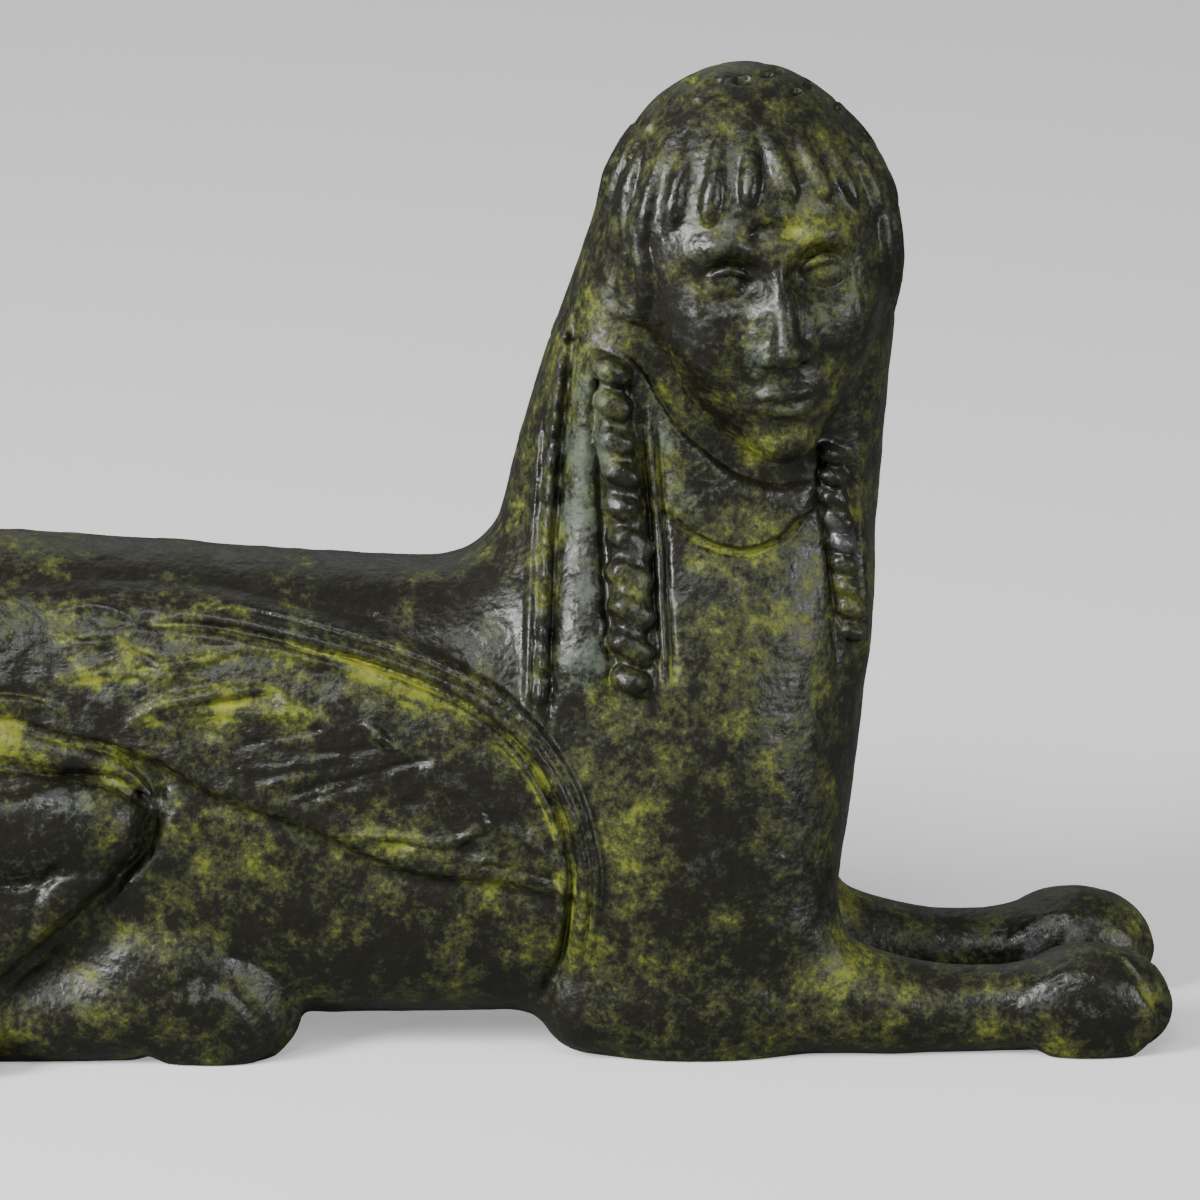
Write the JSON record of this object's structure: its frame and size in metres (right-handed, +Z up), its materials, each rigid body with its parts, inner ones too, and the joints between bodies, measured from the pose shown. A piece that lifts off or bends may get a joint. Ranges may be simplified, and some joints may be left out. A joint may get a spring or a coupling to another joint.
{
  "type": "sphinx statue",
  "caption": "Recumbent winged sphinx cast in bronze, forelegs stretched forward, head turned out over its flank.",
  "frame": {"origin": "under the middle of the casting, on the plane that the paws stand on", "axes": "+X from the rump to the forepaws, +Z up, the face looks towards -Y"},
  "size_m": [0.1883, 0.0527, 0.1253],
  "materials": {
    "patinated_bronze": "near-black green patina, yellow-green verdigris in the hollows, worn blue-grey on the high spots"
  },
  "bodies": {
    "root": {"sphinx": "patinated_bronze"}
  },
  "joints": []
}
